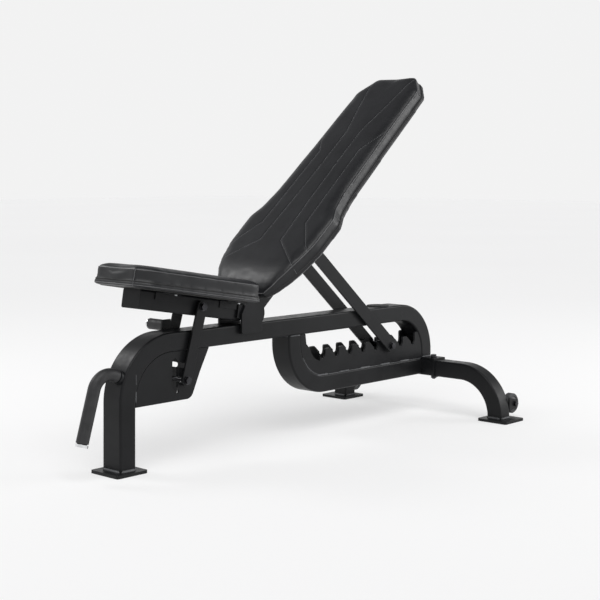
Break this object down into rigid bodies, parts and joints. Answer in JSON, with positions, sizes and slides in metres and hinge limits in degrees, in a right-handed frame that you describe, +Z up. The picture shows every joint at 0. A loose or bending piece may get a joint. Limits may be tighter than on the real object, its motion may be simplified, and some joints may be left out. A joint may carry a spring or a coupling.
{
  "type": "adjustable weight bench",
  "caption": "Adjustable weight bench with tilting seat and backrest, toothed support ladder, bent tube frame, rear stabilizer and transport wheels.",
  "frame": {"origin": "on the floor under the centre of the front leg, at the underside of the front foot plate", "axes": "+Z up, +X along the bench from the front foot towards the rear feet, +Y to the left when looking along +X"},
  "size_m": [1.4494, 0.733, 1.051],
  "materials": {
    "frame_paint": "fine-textured satin black powder coat",
    "upholstery": "satin black leatherette over foam, thin light grey stitch lines",
    "pad_board": "black-stained plywood, matte",
    "grip_rubber": "matte black rubber sleeve",
    "chrome_trim": "polished end ring",
    "cap_rubber": "matte black rubber",
    "black_fastener": "black oxide, semi-gloss",
    "steel_screw": "zinc plated",
    "wheel_tyre": "dark grey hard rubber tread",
    "wheel_hub": "mid grey moulded plastic"
  },
  "bodies": {
    "frame": {"front_leg_tube": "frame_paint", "main_beam_tube": "frame_paint", "rear_bend_tube": "frame_paint", "loop_tube": "frame_paint", "front_foot_plate": "frame_paint", "gusset_plate_right": "frame_paint", "gusset_plate_left": "frame_paint", "seat_stop_pin": "black_fastener", "side_grip_tab": "frame_paint", "side_grip_tube": "grip_rubber", "side_grip_cap": "chrome_trim", "handle_tube": "frame_paint", "handle_collar": "frame_paint", "handle_grip": "grip_rubber", "handle_end_cap": "chrome_trim", "pivot_plate_right": "frame_paint", "pivot_plate_left": "frame_paint", "pivot_spacers": "frame_paint", "pivot_shaft": "black_fastener", "ladder_plate_right": "frame_paint", "ladder_plate_left": "frame_paint", "ladder_roller": "black_fastener", "beam_bumper": "cap_rubber", "rear_cross_tube": "frame_paint", "rear_top_plate": "frame_paint", "rear_clamp_bolts": "black_fastener", "stabilizer_arm_right": "frame_paint", "stabilizer_arm_left": "frame_paint", "arm_flanges": "frame_paint", "rear_foot_plate_right": "frame_paint", "rear_foot_plate_left": "frame_paint", "wheel_forks": "frame_paint", "wheel_axle_bolts": "black_fastener"},
    "seat": {"seat_tube": "frame_paint", "seat_tube_cap": "frame_paint", "seat_hinge_lugs": "frame_paint", "seat_brackets": "frame_paint", "seat_screws": "steel_screw", "seat_board": "pad_board", "seat_pad": "upholstery", "seat_link_top_bolts": "black_fastener"},
    "seat_link": {"seat_link_right": "frame_paint", "seat_link_left": "frame_paint", "seat_link_low_bolts": "black_fastener"},
    "backrest": {"back_tube": "frame_paint", "back_tube_cap": "cap_rubber", "back_hinge_knuckle": "frame_paint", "back_wings": "frame_paint", "back_screws": "steel_screw", "back_board": "pad_board", "back_pad": "upholstery", "support_lugs": "frame_paint", "support_top_bolts": "black_fastener"},
    "support": {"support_bar_right": "frame_paint", "support_bar_left": "frame_paint", "support_low_bolts": "black_fastener"},
    "wheel_right": {"wheel_hub_right": "wheel_hub", "wheel_tyre_right": "wheel_tyre"},
    "wheel_left": {"wheel_hub_left": "wheel_hub", "wheel_tyre_left": "wheel_tyre"}
  },
  "joints": [
    {"name": "backrest_hinge", "type": "hinge", "parent": "frame", "child": "backrest", "pos_m": [0.435, 0, 0.367], "axis": [0, -1, 0], "range_deg": [-40.8, 36.7]},
    {"name": "support_hinge", "type": "hinge", "parent": "backrest", "child": "support", "pos_m": [0.68388, 0, 0.51709], "axis": [0, -1, 0], "range_deg": [-64, 71]},
    {"name": "seat_hinge", "type": "hinge", "parent": "frame", "child": "seat", "pos_m": [0.435, 0, 0.367], "axis": [0, 1, 0], "range_deg": [-9.5, 10.5]},
    {"name": "seat_link_hinge", "type": "hinge", "parent": "seat", "child": "seat_link", "pos_m": [0.24021, 0, 0.3996], "axis": [0, 1, 0], "range_deg": [-18.5, 17]},
    {"name": "wheel_right_spin", "type": "hinge", "parent": "frame", "child": "wheel_right", "pos_m": [1.275, -0.313, 0.046], "axis": [0, 1, 0], "continuous": true},
    {"name": "wheel_left_spin", "type": "hinge", "parent": "frame", "child": "wheel_left", "pos_m": [1.275, 0.313, 0.046], "axis": [0, 1, 0], "continuous": true}
  ],
  "couplings": [
    {"joint": "support_hinge", "follows": "backrest_hinge", "ratio": -1.69},
    {"joint": "seat_link_hinge", "follows": "seat_hinge", "ratio": -1.66}
  ]
}
